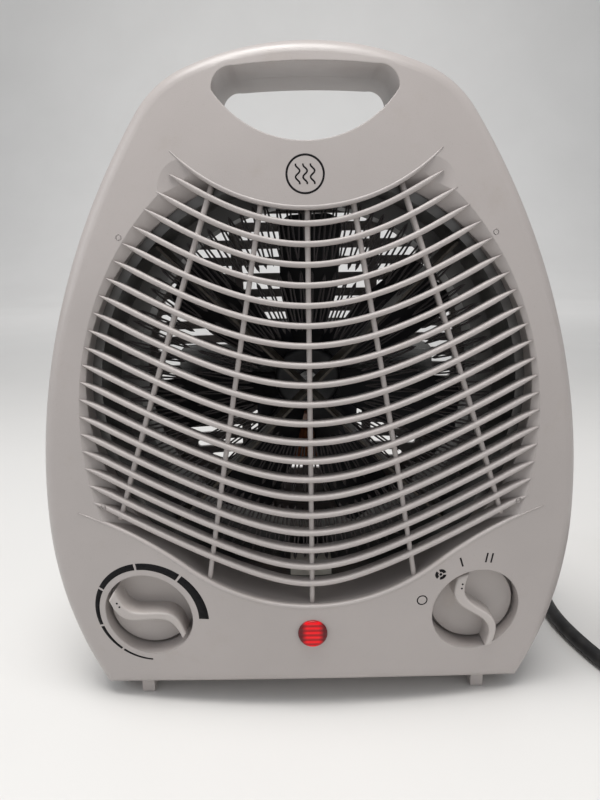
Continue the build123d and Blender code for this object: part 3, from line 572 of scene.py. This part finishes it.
def build_grip_dots(name, joint, angle):
    """Two small moulded dots on the pointing end of a knob's grip."""
    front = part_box(name + "_knob")[0].y / MM
    cx, cz = joints[joint]["pos_m"][0] / MM, joints[joint]["pos_m"][2] / MM
    c, s = cos(radians(angle)), sin(radians(angle))
    bm = bmesh.new()
    for u, v in ((12.2, 2.3), (13.9, 1.4)):
        x, z = cx + u * c - v * s, cz + u * s + v * c
        rings = []
        for y, radius in ((front + 0.1, 0.42), (front - 0.05, 0.42), (front - 0.12, 0.3)):
            ring = arc_points(x, z, radius, 0, 330, 11)
            rings.append([(px, y, pz) for px, pz in ring])
        add_tube(bm, rings)
    new_piece(name + "_grip_dots", bm, INK, name)


build_marks()
build_moulding_marks()
build_grip_dots("thermostat", "thermostat_turn", LEFT_GRIP_ANGLE)
build_grip_dots("selector", "selector_turn", RIGHT_GRIP_ANGLE)


# ---------------------------------------------------------------- mains lead
CORD_ROUTE = [  # from the strain relief down to the floor, round the right side, to the coil
    (62, 81, 22), (62, 93.5, 22), (64.5, 107.5, 18), (71.5, 120, 11.5), (82.8, 129, 6.2),
    (97, 134, 3.8), (112.5, 133, 3.5), (126.8, 126.2, 3.5), (136.5, 114, 3.5), (141, 99, 3.5),
    (140.5, 80, 3.5), (135.5, 53, 3.5), (129.5, 26, 3.5), (127, 3, 3.5), (130, -17, 3.5),
    (135, -35, 3.5), (142.5, -52, 3.5), (154, -66.5, 3.7), (170, -75, 4.2),
]
COIL_CENTRE = (192.5, -30.0)
COIL_POINTS = 18  # for each turn
LOW_Z, HIGH_Z = 4.3, 11.3
OUTER_R, MIDDLE_R, INNER_R = 45.5, 38.5, 31.5
LEAVE_ANGLE = 12.0
TAIL = (16.0, 30.0)  # past the point where the lead leaves the coil


def ease(t, start, end):
    """0 before start, 1 after end, smooth between them."""
    t = min(max((t - start) / (end - start), 0.0), 1.0)
    return t * t * (3 - 2 * t)


def coil_point(t):
    """Point after t turns: three turns inwards on the floor, then up and outwards over them."""
    radius = OUTER_R + (MIDDLE_R - OUTER_R) * ease(t, 0.72, 1.0)
    radius += (INNER_R - MIDDLE_R) * ease(t, 1.72, 2.0) + (OUTER_R - INNER_R) * ease(t, 3.1, 4.1)
    angle = 2 * pi * t - pi / 2
    height = LOW_Z + (HIGH_Z - LOW_Z) * ease(t, 2.45, 2.8)
    return (COIL_CENTRE[0] + radius * cos(angle), COIL_CENTRE[1] + radius * sin(angle), height)


def build_cord():
    leave_turn = 4.25 + LEAVE_ANGLE / 360
    steps = int(leave_turn * COIL_POINTS)
    turns = [coil_point(leave_turn * k / steps) for k in range(steps + 1)]
    c, s = cos(radians(LEAVE_ANGLE)), sin(radians(LEAVE_ANGLE))
    x, y, z = turns[-1]
    tail = [(x - s * t, y + c * t, z) for t in TAIL]
    points = CORD_ROUTE + turns + tail
    lead = round_curve("mains_lead", points, CORD_R, 8, 6, False, MATERIALS["cord_rubber"])
    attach(lead, "root")
    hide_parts("power_cord", "cord_coil")


build_cord()


# ---------------------------------------------------------------- heating wires
def build_wire(name, low_r, high_r, teeth, y, radius=0.4):
    """Round wire bent to and fro between two radii, with soft, slightly uneven bends."""
    uneven = random.Random(name)
    corners = []
    for k in range(2 * teeth):
        r = (high_r if k % 2 else low_r) + uneven.uniform(-0.8, 0.8)
        lean = uneven.uniform(-0.18, 0.18)
        for part in (-0.22, 0.22):
            angle = pi * (k + part + lean) / teeth
            depth = y + uneven.uniform(-0.25, 0.25)
            corners.append((r * cos(angle), depth, AIR_Z + r * sin(angle)))
    wire = round_curve(name + "_wire", corners, radius, 3, 2, True, MATERIALS["heating_alloy"])
    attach(wire, "root")
    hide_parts(name)


WIRES = {  # inner radius, outer radius and teeth
    "heating_wire_outer": (52, 76, 100),
    "heating_wire_inner": (24, 48, 64),
}
for wire_name, (low_r, high_r, teeth) in WIRES.items():
    lowest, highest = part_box(wire_name)
    build_wire(wire_name, low_r, high_r, teeth, (lowest.y + highest.y) / 2 / MM)


# ---------------------------------------------------------------- floor and light
def build_floor():
    """Wide pale ground that turns up into a plain backdrop far behind the heater."""
    near_y, bend_y, bend_r, top_z, half_width = -16.0, 2.2, 1.6, 5.0, 16.0
    profile = [(near_y, 0.0), (-2.0, 0.0), (0.0, 0.0), (bend_y / 2, 0.0)]
    for k in range(25):
        angle = pi / 2 * k / 24
        profile.append((bend_y + bend_r * sin(angle), bend_r * (1 - cos(angle))))
    profile.append((bend_y + bend_r, top_z))
    bm = bmesh.new()
    rows = [[bm.verts.new((x, y, z)) for x in (-half_width, half_width)] for y, z in profile]
    for near, far in zip(rows, rows[1:]):
        bm.faces.new((near[0], near[1], far[1], far[0]))
    floor = mesh_object("floor", bm)
    mat, tree, shader = shader_material("floor", (0.72, 0.7, 0.68), 0.6)
    tone = ramp(tree, noise(tree, 3, 4), ((0.3, (0.7, 0.69, 0.675)), (0.7, (0.73, 0.72, 0.705))))
    tree.links.new(tone, shader.inputs["Base Color"])
    paint(floor, mat)


build_floor()


def area_light(name, location, target, size, power, color=(1, 1, 1)):
    data = bpy.data.lights.new(name, "AREA")
    data.shape = "RECTANGLE"
    data.size, data.size_y = size
    data.energy = power
    data.color = color
    light = add_object(name, data)
    light.location = location
    light.rotation_euler = (Vector(target) - Vector(location)).to_track_quat("-Z", "Y").to_euler()


MIDDLE = (0, 0, 0.13)
area_light("ceiling", (-0.1, -0.2, 1.2), MIDDLE, (0.8, 0.45), 12.5, (1, 0.985, 0.965))
area_light("window", (-1.3, -0.4, 0.8), MIDDLE, (0.7, 0.9), 4, (0.95, 0.98, 1))
area_light("fill", (1.2, -0.9, 0.5), MIDDLE, (1.0, 0.8), 2, (1, 0.97, 0.94))
area_light("back", (0.0, 1.5, 1.6), (0, 3.2, 0.7), (3.0, 1.0), 28)

world = bpy.data.worlds.new("world")
world.use_nodes = True
world.node_tree.nodes["Background"].inputs["Color"].default_value = (0.85, 0.87, 0.9, 1)
world.node_tree.nodes["Background"].inputs["Strength"].default_value = 0.5
bpy.context.scene.world = world
bpy.context.scene.view_settings.view_transform = "Standard"
